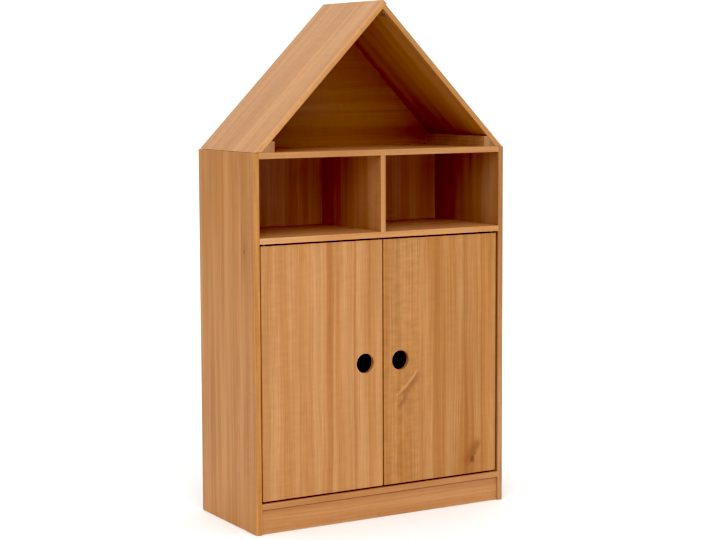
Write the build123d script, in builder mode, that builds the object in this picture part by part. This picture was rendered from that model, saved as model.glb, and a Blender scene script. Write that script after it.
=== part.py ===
"""House-shaped children's wardrobe in solid pine, as the boards and fittings it comes apart into.

Millimetres, +Z up. The origin is on the floor under the middle of the cabinet, the front faces
-Y and the left-hand pieces lie at -X.
"""
import os
from math import cos, radians, sin, tan

from build123d import *

# Cabinet boards
overall_width = 800
overall_depth = 340
side_height = 1029
board = 16
plinth_height = 68
plinth_recess = 6
middle_shelf_height = 802
divider_board = 15
divider_setback = 1
arris = 1.2

# Back panel and the rebate that it lies in
back_panel_thickness = 5
rebate_depth = 6
rebate_width = 8
back_panel_play = 0.5
back_panel_margin = 2

# Roof, its cleats and the gable panel
roof_board = 15
roof_pitch = 45.6
roof_arris = 2
eaves_inset = 3
eaves_joint = 0.9
ridge_lap = 4
cleat_width = 40
cleat_height = 30
cleat_setback = 2
gable_board = 15
gable_setback = 13

# Doors
door_board = 16
door_recess = 5
door_gap = 5
meeting_gap = 4
finger_hole_diameter = 54
finger_hole_offset = 57
finger_hole_height = 439
finger_hole_rim = 2

# Pivot hinges, a plate and pin let into each end of a door, turning in a bush in the board
pivot_inset = 12
pin_diameter = 6
pin_in_door = 12
pin_in_bush = 9
pin_collar_diameter = 11
running_clearance = 0.05
collar_clearance = 0.2
plate_length = 64
plate_width = 11
plate_thickness = 2
plate_margin = 2
plate_screw_spacing = 22
bush_diameter = 10
bush_length = 10
bush_flange_diameter = 15
bush_flange = 1

# Magnetic catch under the middle shelf and the strike plates on the doors
catch_width = 60
catch_depth = 18
catch_height = 22
catch_ear = 13
catch_ear_thickness = 3
magnet_width = 22
magnet_depth = 6
magnet_height = 10
magnet_proud = 0.5
magnet_gap = 0.3
strike_width = 22
strike_height = 12
strike_thickness = 1.2
strike_top_margin = 5
strike_edge_margin = 2

# Clothes rail and its sockets
rail_diameter = 25
rail_drop = 52
rail_play = 0.15
socket_flange_diameter = 56
socket_flange = 4
socket_wall = 4
socket_depth = 14
socket_screw_offset = 21

# Wall brackets that keep the cabinet from tipping
bracket_width = 36
bracket_leg = 17
bracket_thickness = 2
bracket_screw_spacing = 18
wall_hole_diameter = 5.5

# Dowels, cam fittings and screws
dowel_diameter = 8
dowel_in_face = 10
dowel_in_edge = 20
dowel_chamfer = 0.6
cam_diameter = 15
cam_height = 12.5
cam_offset = 24
cam_drive_length = 8
cam_drive_width = 1.6
cam_drive_depth = 2.5
bolt_diameter = 6
bolt_in_face = 11
bolt_head_diameter = 7
bolt_head_length = 4
bolt_bore_diameter = 8
fitting_margin = 50
fitting_spacing = 32
ridge_fitting_margin = 25
plinth_dowel_spread = 20
plinth_dowel_pitch = 190
divider_dowel_spread = 100
gable_dowel_offsets = (130, 260)
small_screw_diameter = 3.5
small_screw_length = 14
small_screw_head = 7
cleat_screw_diameter = 4
cleat_screw_length = 34
cleat_screw_head = 8
cleat_screw_inset = 13
cleat_screw_pitch = 70
screw_drive_depth = 1
back_screw_pitch = 192
back_side_screws = 5
snug = 0.1
end_play = 0.5

# Places worked out from the sizes above
sides = (-1, 1)
front = -overall_depth / 2
rear = overall_depth / 2
inner_x = overall_width / 2 - board
shelf_rear = rear - rebate_depth
shelf_depth = shelf_rear - front
shelf_middle_y = (front + shelf_rear) / 2
bottom_board_top = plinth_height + board
middle_shelf_under = middle_shelf_height - board
top_shelf_under = side_height - board
plinth_middle_y = front + plinth_recess + board / 2
gable_front = rear - gable_setback - gable_board
gable_middle_y = gable_front + gable_board / 2

# Roof lines in the X-Z plane
pitch = radians(roof_pitch)
half_span = overall_width / 2 - eaves_inset
foot_width = roof_board / sin(pitch)
foot_inner = half_span - foot_width
foot_z = side_height + eaves_joint
foot_step = eaves_joint / tan(pitch)
slope_length = half_span / cos(pitch)
apex_height = side_height + half_span * tan(pitch)
under_apex = apex_height - roof_board / cos(pitch)
ridge_meeting = (foot_width / 2, apex_height - roof_board / cos(pitch) / 2)

# Door lines
door_front = front + door_recess
door_back = door_front + door_board
door_middle_y = door_front + door_board / 2
door_bottom = bottom_board_top + door_gap
door_top = middle_shelf_under - door_gap
hinge_edge = inner_x - door_gap
door_width = hinge_edge - meeting_gap / 2
pivot_x = hinge_edge - pivot_inset
strike_z = door_top - strike_top_margin - strike_height / 2
strike_x = meeting_gap / 2 + strike_edge_margin + strike_width / 2
strike_back = door_back + strike_thickness
magnet_front = strike_back + magnet_gap
rail_y = (door_back + shelf_rear) / 2
rail_z = middle_shelf_under - rail_drop
bracket_x = (divider_board / 2 + inner_x) / 2
wall_hole_z = top_shelf_under - (bracket_leg + bracket_thickness) / 2

from_base = (Align.CENTER, Align.CENTER, Align.MIN)
across = (1, 0, 0)
up = (0, 0, 1)
down = (0, 0, -1)
backward = (0, 1, 0)
forward = (0, -1, 0)


def place(x, y, z, direction):
    """A plane at a point, whose normal is the way a fastener runs from there."""
    return Plane(origin=(x, y, z), z_dir=direction)


def bore(places, radius, behind, ahead):
    """Cut a round hole on the axis of each place, from behind it to ahead of it."""
    with Locations(*[start.offset(-behind) for start in places]):
        Cylinder(radius, behind + ahead, align=from_base, mode=Mode.SUBTRACT)


def bore_for_dowels(places):
    """Cut both halves of each dowel's hole: the face behind the joint and the edge ahead of it."""
    bore(places, dowel_diameter / 2 + snug, dowel_in_face + end_play, dowel_in_edge + end_play)


def bore_for_bolts(places):
    """Cut a pilot hole behind each joint and the wider bolt hole that leads on to the cam."""
    bore(places, bolt_diameter / 2 + snug, bolt_in_face + end_play, 0)
    bore(places, bolt_bore_diameter / 2, 0, cam_offset)


def bore_for_cams(places):
    """Cut the blind round housing of each cam."""
    bore(places, cam_diameter / 2 + snug, 0, cam_height + snug)


def cam_places(bolt_places, into_board, thickness):
    """The face point over the end of each bolt, looking into the board that holds the cam."""
    inward = Vector(*into_board)
    ends = [bolt.origin + bolt.z_dir * cam_offset - inward * thickness / 2 for bolt in bolt_places]
    return [Plane(origin=end, z_dir=inward) for end in ends]


def cut_drive(places, length, width, depth):
    """Cut a cross recess for a screwdriver at each place."""
    with Locations(*places):
        Box(length, width, depth, align=from_base, mode=Mode.SUBTRACT)
        Box(width, length, depth, align=from_base, mode=Mode.SUBTRACT)


def drive_screws(places, diameter, length, head):
    """Make countersunk screws with their heads flush at each place."""
    head_height = (head - diameter) / 2
    with Locations(*places):
        Cone(head / 2, diameter / 2, head_height, align=from_base)
        Cylinder(diameter / 2, length - diameter, align=from_base)
    with Locations(*[start.offset(length - diameter) for start in places]):
        Cone(diameter / 2, diameter / 8, diameter, align=from_base)
    cut_drive(places, head / 2, head / 8, screw_drive_depth)


def bore_for_screws(places, diameter, length, head):
    """Cut the countersunk hole of each screw."""
    head_height = (head - diameter) / 2
    with Locations(*places):
        Cone(head / 2 + snug, diameter / 2 + snug, head_height, align=from_base, mode=Mode.SUBTRACT)
    bore(places, diameter / 2 + snug, 0, length + end_play)


def board_end_places(height, fitting_ys):
    """Joint places at both ends of a board between the sides, looking into the board."""
    return [place(side * inner_x, y, height, (-side, 0, 0)) for side in sides for y in fitting_ys]


# Joints of the three boards between the sides
fitting_y = overall_depth / 2 - fitting_margin
dowel_y = fitting_y - fitting_spacing
board_middles = {
    "bottom": bottom_board_top - board / 2,
    "middle": middle_shelf_height - board / 2,
    "top": side_height - board / 2,
}
board_bolts = {
    name: board_end_places(z, (-fitting_y, fitting_y)) for name, z in board_middles.items()
}
board_dowels = {name: board_end_places(z, (-dowel_y, dowel_y)) for name, z in board_middles.items()}
board_cams = {name: cam_places(bolts, up, board) for name, bolts in board_bolts.items()}

# Joints of the plinth board
plinth_bolts = board_end_places(plinth_height / 2, (plinth_middle_y,))
plinth_cams = cam_places(plinth_bolts, forward, board)
plinth_end_dowels = [
    place(side * inner_x, plinth_middle_y, plinth_height / 2 + step * plinth_dowel_spread, (-side, 0, 0))
    for side in sides
    for step in sides
]
plinth_top_dowels = [
    place(step * plinth_dowel_pitch, plinth_middle_y, plinth_height, down) for step in (-1, 0, 1)
]

# Joints of the divider
divider_foot_dowels = [
    place(0, side * divider_dowel_spread, middle_shelf_height, up) for side in sides
]
divider_head_dowels = [place(0, side * divider_dowel_spread, top_shelf_under, down) for side in sides]

# Joints of the gable panel with the top shelf and with the roof
gable_foot_dowels = [
    place(side * x, gable_middle_y, side_height, up) for side in sides for x in gable_dowel_offsets
]
gable_roof_dowels = [
    place(side * x, gable_middle_y, under_apex - x * tan(pitch), (-side * sin(pitch), 0, -cos(pitch)))
    for side in sides
    for x in gable_dowel_offsets
]

# Joints of the ridge, from the left panel's underside into the right panel
ridge_x = foot_width / 4
ridge_z = (ridge_meeting[1] + under_apex) / 2
down_right_slope = (cos(pitch), 0, -sin(pitch))
right_roof_normal = (sin(pitch), 0, cos(pitch))
ridge_ends = (front + ridge_fitting_margin, gable_front - ridge_fitting_margin)
ridge_bolts = [place(ridge_x, y, ridge_z, down_right_slope) for y in ridge_ends]
ridge_cams = cam_places(ridge_bolts, right_roof_normal, roof_board)
ridge_dowel_ys = (ridge_ends[0] + fitting_spacing, ridge_ends[1] - fitting_spacing)
ridge_dowels = [place(ridge_x, y, ridge_z, down_right_slope) for y in ridge_dowel_ys]

# Screws of the cleats, up through the top shelf
cleat_screw_x = foot_inner - cleat_width + cleat_screw_inset
cleat_screw_places = [
    place(side * cleat_screw_x, step * cleat_screw_pitch, top_shelf_under, up)
    for side in sides
    for step in (-1, 0, 1)
]

# Screws of the back panel
back_panel_rear = shelf_rear + back_panel_thickness
back_panel_bottom = plinth_height + back_panel_margin
back_panel_height = side_height - back_panel_margin - back_panel_bottom
back_side_screw_x = inner_x + rebate_width / 2
side_screw_pitch = back_panel_height / (back_side_screws + 1)
back_screw_places = [
    place(step * back_screw_pitch / 2, back_panel_rear, z, forward)
    for z in board_middles.values()
    for step in (-3, -1, 1, 3)
] + [
    place(side * back_side_screw_x, back_panel_rear, back_panel_bottom + n * side_screw_pitch, forward)
    for side in sides
    for n in range(1, back_side_screws + 1)
]

# Screws and holes of the wall brackets
bracket_screw_y = shelf_rear - bracket_leg / 2 - bracket_thickness / 2
bracket_screw_places = [
    place(side * bracket_x + step * bracket_screw_spacing / 2, bracket_screw_y,
          top_shelf_under - bracket_thickness, up)
    for side in sides
    for step in sides
]
wall_hole_places = [
    place(side * bracket_x, shelf_rear - bracket_thickness, wall_hole_z, backward) for side in sides
]

# Screws of the rail sockets and of the catch
socket_screw_places = [
    place(side * (inner_x - socket_flange), rail_y, rail_z + step * socket_screw_offset, (side, 0, 0))
    for side in sides
    for step in sides
]
catch_y = magnet_front + magnet_proud + catch_depth / 2
catch_screw_places = [
    place(side * (catch_width + catch_ear) / 2, catch_y, middle_shelf_under - catch_ear_thickness, up)
    for side in sides
]

# Places on the left door
pivot_lower = place(-pivot_x, door_middle_y, door_bottom, up)
pivot_upper = place(-pivot_x, door_middle_y, door_top, down)
pivot_places = (pivot_lower, pivot_upper)
plate_middle_x = -hinge_edge + plate_margin + plate_length / 2
plate_screw_places = [
    place(plate_middle_x + offset, door_middle_y, end.origin.Z, end.z_dir)
    for end in pivot_places
    for offset in (0, plate_screw_spacing)
]
strike_screw_place = place(-strike_x, strike_back, strike_z, forward)

# Sockets for the door pins in the bottom board and in the middle shelf
bush_places = [
    place(side * pivot_x, door_middle_y, z, direction)
    for side in sides
    for z, direction in ((bottom_board_top, down), (middle_shelf_under, up))
]

# Side panels, with a rebate for the back panel
with BuildPart() as left_side_panel:
    with BuildSketch(Plane.XY):
        with Locations((-inner_x - board / 2, 0)):
            Rectangle(board, overall_depth)
        with Locations((-inner_x - rebate_width / 2, rear - rebate_depth / 2)):
            Rectangle(rebate_width, rebate_depth, mode=Mode.SUBTRACT)
    extrude(amount=side_height)
    front_edges = left_side_panel.edges().filter_by(Axis.Z).group_by(Axis.Y)[0]
    outer_edges = left_side_panel.edges().filter_by(Axis.Z).group_by(Axis.X)[0]
    top_edges = left_side_panel.faces().sort_by(Axis.Z)[-1].edges()
    top_outer_edge = top_edges.filter_by(Axis.Y).sort_by(Axis.X)[0]
    fillet(front_edges + outer_edges.sort_by(Axis.Y)[-1:] + [top_outer_edge], radius=arris)
    chamfer(left_side_panel.faces().sort_by(Axis.Z)[0].edges().group_by(Axis.X)[0], length=arris)
    for name in board_middles:
        bore_for_bolts(board_bolts[name])
        bore_for_dowels(board_dowels[name])
    bore_for_bolts(plinth_bolts)
    bore_for_dowels(plinth_end_dowels)
    bore_for_screws(back_screw_places, small_screw_diameter, small_screw_length, small_screw_head)
    bore_for_screws(socket_screw_places, small_screw_diameter, small_screw_length, small_screw_head)

with BuildPart() as right_side_panel:
    mirror(left_side_panel.part, about=Plane.YZ)

# Bottom board
with BuildPart() as bottom_board:
    with BuildSketch(Plane.XY.offset(plinth_height)):
        with Locations((0, shelf_middle_y)):
            Rectangle(2 * inner_x, shelf_depth)
    extrude(amount=board)
    fillet(bottom_board.edges().filter_by(Axis.X).group_by(Axis.Y)[0], radius=arris)
    bore_for_bolts(board_bolts["bottom"])
    bore_for_dowels(board_dowels["bottom"] + plinth_top_dowels)
    bore_for_cams(board_cams["bottom"])
    bore(bush_places, bush_diameter / 2 + snug, 0, bush_length + end_play)
    bore_for_screws(back_screw_places, small_screw_diameter, small_screw_length, small_screw_head)

# Middle shelf, over the doors
with BuildPart() as middle_shelf:
    with BuildSketch(Plane.XY.offset(middle_shelf_under)):
        with Locations((0, shelf_middle_y)):
            Rectangle(2 * inner_x, shelf_depth)
    extrude(amount=board)
    fillet(middle_shelf.edges().filter_by(Axis.X).group_by(Axis.Y)[0], radius=arris)
    bore_for_bolts(board_bolts["middle"])
    bore_for_dowels(board_dowels["middle"] + divider_foot_dowels)
    bore_for_cams(board_cams["middle"])
    bore(bush_places, bush_diameter / 2 + snug, 0, bush_length + end_play)
    bore_for_screws(catch_screw_places, small_screw_diameter, small_screw_length, small_screw_head)
    bore_for_screws(back_screw_places, small_screw_diameter, small_screw_length, small_screw_head)

# Top shelf, under the roof
with BuildPart() as top_shelf:
    with BuildSketch(Plane.XY.offset(top_shelf_under)):
        with Locations((0, shelf_middle_y)):
            Rectangle(2 * inner_x, shelf_depth)
    extrude(amount=board)
    fillet(top_shelf.edges().filter_by(Axis.X).group_by(Axis.Y)[0], radius=arris)
    bore_for_bolts(board_bolts["top"])
    bore_for_dowels(board_dowels["top"] + divider_head_dowels + gable_foot_dowels)
    bore_for_cams(board_cams["top"])
    bore_for_screws(cleat_screw_places, cleat_screw_diameter, cleat_screw_length, cleat_screw_head)
    bore_for_screws(bracket_screw_places, small_screw_diameter, small_screw_length, small_screw_head)
    bore_for_screws(back_screw_places, small_screw_diameter, small_screw_length, small_screw_head)

# Divider between the two open compartments
with BuildPart() as compartment_divider:
    with BuildSketch(Plane.XY.offset(middle_shelf_height)):
        with Locations((0, shelf_middle_y + divider_setback / 2)):
            Rectangle(divider_board, shelf_depth - divider_setback)
    extrude(amount=top_shelf_under - middle_shelf_height)
    fillet(compartment_divider.edges().filter_by(Axis.Z).group_by(Axis.Y)[0], radius=arris)
    bore_for_dowels(divider_foot_dowels + divider_head_dowels)

# Plinth board
with BuildPart() as plinth_board:
    with BuildSketch(Plane.XY):
        with Locations((0, plinth_middle_y)):
            Rectangle(2 * inner_x, board)
    extrude(amount=plinth_height)
    fillet(plinth_board.edges().filter_by(Axis.X).group_by(Axis.Y)[0], radius=arris)
    bore_for_bolts(plinth_bolts)
    bore_for_dowels(plinth_end_dowels + plinth_top_dowels)
    bore_for_cams(plinth_cams)

# Back panel of the cabinet and the compartments
with BuildPart() as cabinet_back_panel:
    with BuildSketch(Plane.XZ.offset(-back_panel_rear)):
        with Locations((0, back_panel_bottom + back_panel_height / 2)):
            Rectangle(2 * (inner_x + rebate_width - back_panel_play), back_panel_height)
    extrude(amount=back_panel_thickness)
    bore(wall_hole_places, wall_hole_diameter / 2, 0, bracket_thickness + back_panel_thickness)
    bore_for_screws(back_screw_places, small_screw_diameter, small_screw_length, small_screw_head)

# Roof panels: the left one runs on over the top end of the right one. Both rest on the cleats, with
# an open joint over the sides
with BuildPart() as left_roof_panel:
    reach = slope_length + ridge_lap
    tip = (reach * cos(pitch) - half_span, side_height + reach * sin(pitch))
    under_tip = (tip[0] + roof_board * sin(pitch), tip[1] - roof_board * cos(pitch))
    left_foot = ((foot_step - foot_inner, foot_z), (foot_step - half_span, foot_z))
    with BuildSketch(Plane.XZ.offset(-rear)):
        with BuildLine():
            Polyline(*left_foot, tip, under_tip, close=True)
        make_face()
    extrude(amount=overall_depth)
    front_outline = left_roof_panel.faces().sort_by(Axis.Y)[0].edges()
    rear_outline = left_roof_panel.faces().sort_by(Axis.Y)[-1].edges()
    fillet(front_outline + rear_outline.sort_by(SortBy.LENGTH)[-1:], radius=roof_arris)
    bore_for_bolts(ridge_bolts)
    bore_for_dowels(ridge_dowels + gable_roof_dowels)

with BuildPart() as right_roof_panel:
    right_foot = ((foot_inner - foot_step, foot_z), (half_span - foot_step, foot_z))
    with BuildSketch(Plane.XZ.offset(-rear)):
        with BuildLine():
            Polyline(*right_foot, ridge_meeting, (0, under_apex), close=True)
        make_face()
    extrude(amount=overall_depth)
    front_outline = right_roof_panel.faces().sort_by(Axis.Y)[0].edges()
    rear_outline = right_roof_panel.faces().sort_by(Axis.Y)[-1].edges()
    fillet(front_outline + rear_outline.sort_by(SortBy.LENGTH)[-1:], radius=roof_arris)
    bore_for_bolts(ridge_bolts)
    bore_for_dowels(ridge_dowels + gable_roof_dowels)
    bore_for_cams(ridge_cams)

# Cleats in the corners between the roof and the top shelf
with BuildPart() as left_roof_cleat:
    cleat_inner = cleat_width - foot_inner
    cleat_top = side_height + cleat_height
    with BuildSketch(Plane.XZ.offset(-gable_front)):
        with BuildLine():
            Polyline(
                (-foot_inner, side_height),
                (cleat_inner, side_height),
                (cleat_inner, cleat_top),
                (cleat_height / tan(pitch) - foot_inner, cleat_top),
                close=True,
            )
        make_face()
    extrude(amount=gable_front - front - cleat_setback)
    bore_for_screws(cleat_screw_places, cleat_screw_diameter, cleat_screw_length, cleat_screw_head)

with BuildPart() as right_roof_cleat:
    mirror(left_roof_cleat.part, about=Plane.YZ)

# Gable panel that closes the roof at the back
with BuildPart() as gable_back_panel:
    with BuildSketch(Plane.XZ.offset(-gable_front - gable_board)):
        with BuildLine():
            Polyline((-foot_inner, side_height), (foot_inner, side_height), (0, under_apex), close=True)
        make_face()
    extrude(amount=gable_board)
    bore_for_dowels(gable_foot_dowels + gable_roof_dowels)

# Doors, with a finger hole for a handle
with BuildPart() as left_door:
    with BuildSketch(Plane.XZ.offset(-door_back)):
        with Locations((-hinge_edge + door_width / 2, (door_bottom + door_top) / 2)):
            Rectangle(door_width, door_top - door_bottom)
        with Locations((-finger_hole_offset, finger_hole_height)):
            Circle(finger_hole_diameter / 2, mode=Mode.SUBTRACT)
    extrude(amount=door_board)
    fillet(left_door.edges().filter_by(GeomType.CIRCLE), radius=finger_hole_rim)
    front_outline = left_door.faces().sort_by(Axis.Y)[0].edges().filter_by(GeomType.LINE)
    fillet(front_outline, radius=arris)
    for end in pivot_places:
        with Locations(place(plate_middle_x, door_middle_y, end.origin.Z, end.z_dir)):
            Box(plate_length + 2 * snug, plate_width + 2 * snug, plate_thickness, align=from_base,
                mode=Mode.SUBTRACT)
    bore(pivot_places, pin_diameter / 2 + snug, 0, pin_in_door + plate_thickness + end_play)
    bore_for_screws(plate_screw_places, small_screw_diameter, small_screw_length, small_screw_head)
    bore_for_screws([strike_screw_place], small_screw_diameter, small_screw_length, small_screw_head)

with BuildPart() as right_door:
    mirror(left_door.part, about=Plane.YZ)

# Pivot plates let into the ends of the door
with BuildPart() as left_pivot_plates:
    for end in pivot_places:
        with Locations(place(plate_middle_x, door_middle_y, end.origin.Z, end.z_dir)):
            Box(plate_length, plate_width, plate_thickness, align=from_base)
    bore(pivot_places, pin_diameter / 2 + snug, 0, plate_thickness)
    bore_for_screws(plate_screw_places, small_screw_diameter, small_screw_length, small_screw_head)

with BuildPart() as right_pivot_plates:
    mirror(left_pivot_plates.part, about=Plane.YZ)

# Pivot pins, each with the collar that the door stands on
with BuildPart() as left_pivot_pins:
    collar_height = door_gap - bush_flange - collar_clearance
    with Locations(*[end.offset(-door_gap - pin_in_bush) for end in pivot_places]):
        Cylinder(pin_diameter / 2, pin_in_bush + door_gap + plate_thickness + pin_in_door, align=from_base)
    chamfer(left_pivot_pins.edges().filter_by(GeomType.CIRCLE), length=dowel_chamfer)
    with Locations(*[end.offset(-collar_height) for end in pivot_places]):
        Cylinder(pin_collar_diameter / 2, collar_height, align=from_base)

with BuildPart() as right_pivot_pins:
    mirror(left_pivot_pins.part, about=Plane.YZ)

with BuildPart() as left_pivot_screws:
    drive_screws(plate_screw_places, small_screw_diameter, small_screw_length, small_screw_head)

with BuildPart() as right_pivot_screws:
    mirror(left_pivot_screws.part, about=Plane.YZ)

# Bushes for the pins
with BuildPart() as pivot_bushes:
    with Locations(*bush_places):
        Cylinder(bush_diameter / 2, bush_length, align=from_base)
    with Locations(*[bush.offset(-bush_flange) for bush in bush_places]):
        Cylinder(bush_flange_diameter / 2, bush_flange, align=from_base)
    bore(bush_places, pin_diameter / 2 + running_clearance, bush_flange, pin_in_bush + end_play)

# Strike plates and their screws
with BuildPart() as left_strike_plate:
    with BuildSketch(Plane.XZ.offset(-strike_back)):
        with Locations((-strike_x, strike_z)):
            Rectangle(strike_width, strike_height)
    extrude(amount=strike_thickness)
    fillet(left_strike_plate.edges().filter_by(Axis.Y), radius=arris)
    bore_for_screws([strike_screw_place], small_screw_diameter, small_screw_length, small_screw_head)

with BuildPart() as right_strike_plate:
    mirror(left_strike_plate.part, about=Plane.YZ)

with BuildPart() as left_strike_screw:
    drive_screws([strike_screw_place], small_screw_diameter, small_screw_length, small_screw_head)

with BuildPart() as right_strike_screw:
    mirror(left_strike_screw.part, about=Plane.YZ)

# Magnetic catch: a housing with two ears, and a magnet for each door
magnet_places = [place(side * strike_x, magnet_front, strike_z, backward) for side in sides]

with BuildPart() as catch_housing:
    with BuildSketch(Plane.XY.offset(middle_shelf_under)):
        with Locations((0, catch_y)):
            Rectangle(catch_width, catch_depth)
    extrude(amount=-catch_height)
    fillet(catch_housing.edges().filter_by(Axis.Z), radius=arris)
    with BuildSketch(Plane.XY.offset(middle_shelf_under)):
        with Locations((0, catch_y)):
            Rectangle(catch_width + 2 * catch_ear, catch_depth)
    extrude(amount=-catch_ear_thickness)
    with Locations(*magnet_places):
        Box(magnet_height + 2 * snug, magnet_width + 2 * snug, magnet_depth + snug,
            align=from_base, mode=Mode.SUBTRACT)
    bore_for_screws(catch_screw_places, small_screw_diameter, small_screw_length, small_screw_head)

with BuildPart() as catch_magnets:
    with Locations(*magnet_places):
        Box(magnet_height, magnet_width, magnet_depth, align=from_base)

with BuildPart() as catch_screws:
    drive_screws(catch_screw_places, small_screw_diameter, small_screw_length, small_screw_head)

# Clothes rail in its sockets
with BuildPart() as clothes_rail:
    with Locations(place(-inner_x + socket_flange + rail_play, rail_y, rail_z, across)):
        Cylinder(rail_diameter / 2, 2 * (inner_x - socket_flange - rail_play), align=from_base)
    chamfer(clothes_rail.edges().filter_by(GeomType.CIRCLE), length=arris)

socket_places = [place(side * inner_x, rail_y, rail_z, (-side, 0, 0)) for side in sides]

with BuildPart() as rail_sockets:
    with Locations(*socket_places):
        Cylinder(socket_flange_diameter / 2, socket_flange, align=from_base)
        Cylinder(rail_diameter / 2 + rail_play + socket_wall, socket_flange + socket_depth, align=from_base)
    bore(socket_places, rail_diameter / 2 + rail_play, -socket_flange, socket_flange + socket_depth)
    bore_for_screws(socket_screw_places, small_screw_diameter, small_screw_length, small_screw_head)

with BuildPart() as rail_socket_screws:
    drive_screws(socket_screw_places, small_screw_diameter, small_screw_length, small_screw_head)

# Wall brackets, inside the top rear corner of each compartment
with BuildPart() as wall_brackets:
    with BuildSketch(Plane.YZ):
        with BuildLine():
            Polyline(
                (shelf_rear, top_shelf_under),
                (shelf_rear - bracket_leg, top_shelf_under),
                (shelf_rear - bracket_leg, top_shelf_under - bracket_thickness),
                (shelf_rear - bracket_thickness, top_shelf_under - bracket_thickness),
                (shelf_rear - bracket_thickness, top_shelf_under - bracket_leg),
                (shelf_rear, top_shelf_under - bracket_leg),
                close=True,
            )
        make_face()
    bracket = extrude(amount=bracket_width / 2, both=True, mode=Mode.PRIVATE)
    with Locations((-bracket_x, 0, 0), (bracket_x, 0, 0)):
        add(bracket)
    bore_for_screws(bracket_screw_places, small_screw_diameter, small_screw_length, small_screw_head)
    bore(wall_hole_places, wall_hole_diameter / 2, 0, bracket_thickness)

with BuildPart() as wall_bracket_screws:
    drive_screws(bracket_screw_places, small_screw_diameter, small_screw_length, small_screw_head)

# Hidden joints
all_bolts = [bolt for bolts in board_bolts.values() for bolt in bolts] + plinth_bolts + ridge_bolts
all_cams = [cam for cams in board_cams.values() for cam in cams] + plinth_cams + ridge_cams
all_dowels = (
    [dowel for dowels in board_dowels.values() for dowel in dowels]
    + plinth_end_dowels
    + plinth_top_dowels
    + divider_foot_dowels
    + divider_head_dowels
    + gable_foot_dowels
    + gable_roof_dowels
    + ridge_dowels
)

with BuildPart() as joint_dowels:
    with Locations(*[dowel.offset(-dowel_in_face) for dowel in all_dowels]):
        Cylinder(dowel_diameter / 2, dowel_in_face + dowel_in_edge, align=from_base)
    chamfer(joint_dowels.edges().filter_by(GeomType.CIRCLE), length=dowel_chamfer)

with BuildPart() as cam_bolts:
    with Locations(*[bolt.offset(-bolt_in_face) for bolt in all_bolts]):
        Cylinder(bolt_diameter / 2, bolt_in_face + cam_offset, align=from_base)
    with Locations(*[bolt.offset(cam_offset) for bolt in all_bolts]):
        Cylinder(bolt_head_diameter / 2, bolt_head_length, align=from_base)

with BuildPart() as cam_locks:
    with Locations(*all_cams):
        Cylinder(cam_diameter / 2, cam_height, align=from_base)
    cut_drive(all_cams, cam_drive_length, cam_drive_width, cam_drive_depth)
    bore(all_bolts, bolt_bore_diameter / 2, 0, cam_offset + bolt_head_length + end_play)

with BuildPart() as cleat_screws:
    drive_screws(cleat_screw_places, cleat_screw_diameter, cleat_screw_length, cleat_screw_head)

with BuildPart() as back_panel_screws:
    drive_screws(back_screw_places, small_screw_diameter, small_screw_length, small_screw_head)

pieces = {
    "left_side_panel": left_side_panel,
    "right_side_panel": right_side_panel,
    "bottom_board": bottom_board,
    "middle_shelf": middle_shelf,
    "top_shelf": top_shelf,
    "compartment_divider": compartment_divider,
    "plinth_board": plinth_board,
    "cabinet_back_panel": cabinet_back_panel,
    "left_roof_panel": left_roof_panel,
    "right_roof_panel": right_roof_panel,
    "left_roof_cleat": left_roof_cleat,
    "right_roof_cleat": right_roof_cleat,
    "gable_back_panel": gable_back_panel,
    "left_door": left_door,
    "right_door": right_door,
    "left_pivot_plates": left_pivot_plates,
    "right_pivot_plates": right_pivot_plates,
    "left_pivot_pins": left_pivot_pins,
    "right_pivot_pins": right_pivot_pins,
    "left_pivot_screws": left_pivot_screws,
    "right_pivot_screws": right_pivot_screws,
    "pivot_bushes": pivot_bushes,
    "left_strike_plate": left_strike_plate,
    "right_strike_plate": right_strike_plate,
    "left_strike_screw": left_strike_screw,
    "right_strike_screw": right_strike_screw,
    "catch_housing": catch_housing,
    "catch_magnets": catch_magnets,
    "catch_screws": catch_screws,
    "clothes_rail": clothes_rail,
    "rail_sockets": rail_sockets,
    "rail_socket_screws": rail_socket_screws,
    "wall_brackets": wall_brackets,
    "wall_bracket_screws": wall_bracket_screws,
    "joint_dowels": joint_dowels,
    "cam_bolts": cam_bolts,
    "cam_locks": cam_locks,
    "cleat_screws": cleat_screws,
    "back_panel_screws": back_panel_screws,
}

os.makedirs("parts", exist_ok=True)
for name, piece in pieces.items():
    piece.part.label = name
    export_step(piece.part, f"parts/{name}.step")
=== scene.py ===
"""Looks of a house-shaped children's wardrobe: stained pine boards, fittings and a pale studio.

Lengths are in metres, angles in degrees and colours in linear light. Every board is cut from a
modelled log: its staves have growth rings round a pith, so faces, edges and ends show the figure
that such a cut would have.
"""

import logging
import math
import random
from dataclasses import dataclass, field
from enum import Enum
from typing import Optional, Sequence, Union

import bmesh
import bpy
from mathutils import Matrix, Vector

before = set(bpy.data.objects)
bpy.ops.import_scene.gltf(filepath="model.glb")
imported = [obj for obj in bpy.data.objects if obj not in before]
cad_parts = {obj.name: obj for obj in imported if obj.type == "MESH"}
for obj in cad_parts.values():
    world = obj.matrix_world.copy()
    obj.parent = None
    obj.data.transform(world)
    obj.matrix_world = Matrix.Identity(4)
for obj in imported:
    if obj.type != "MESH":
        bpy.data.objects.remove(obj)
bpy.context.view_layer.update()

LOG = logging.getLogger("wardrobe")

PHOTO_WIDTH = 716.0
PHOTO_HEIGHT = 540.0
ROOF_PITCH = 45.6
# Noises and ramps run from 0 to 1, and a hue of 0.5 stays as it is
UNIT_MIDDLE = 0.5
SAME_HUE = 0.5

Colour = tuple[float, float, float]
Axis = tuple[float, float, float]
Span = tuple[float, float]
Socket = bpy.types.NodeSocket
Feed = Union[bpy.types.NodeSocket, float]


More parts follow.
